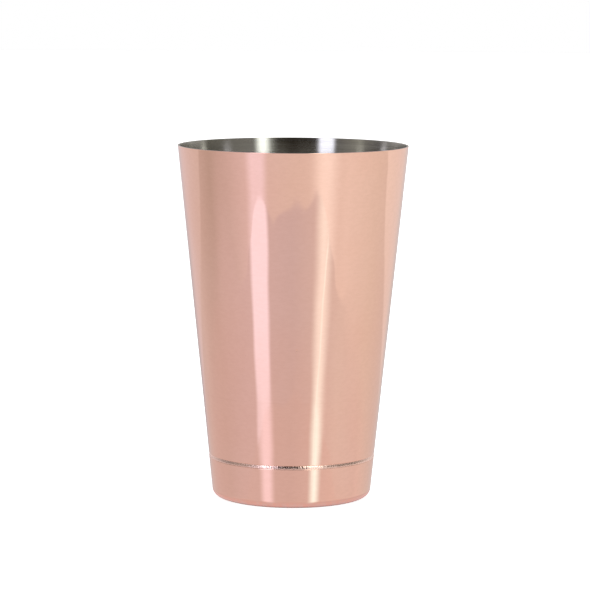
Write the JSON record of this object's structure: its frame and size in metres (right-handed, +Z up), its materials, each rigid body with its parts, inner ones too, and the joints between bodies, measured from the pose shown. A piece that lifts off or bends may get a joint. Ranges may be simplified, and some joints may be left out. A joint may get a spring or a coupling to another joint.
{
  "type": "weighted shaker tin",
  "caption": "Tapered metal shaker tin: a copper-plated drawn cup with a brushed steel inside, welded into a flush weighted base cap.",
  "frame": {"origin": "on the tin's axis, in the plane of the foot ring that it stands on", "axes": "+Z up along the tin's axis, from the foot ring to the open mouth; the tin is round, so X and Y are any two directions across it"},
  "size_m": [0.0876, 0.0876, 0.1343],
  "materials": {
    "copper_plated_steel": "thin copper plating polished to a mirror outside, over drawn stainless sheet; the inside of the cup is bare, with a fine brushed finish running round it",
    "plated_weld": "fine weld bead with its ripples left in, copper plated together with the two pressings",
    "ballast_steel": "plain blanked mild steel plate, out of sight",
    "bond_resin": "cured structural adhesive, out of sight"
  },
  "bodies": {
    "root": {"tin_cup": "copper_plated_steel", "base_cap": "copper_plated_steel", "seam_weld": "plated_weld", "ballast_disc": "ballast_steel", "ballast_bond": "bond_resin"}
  },
  "joints": []
}
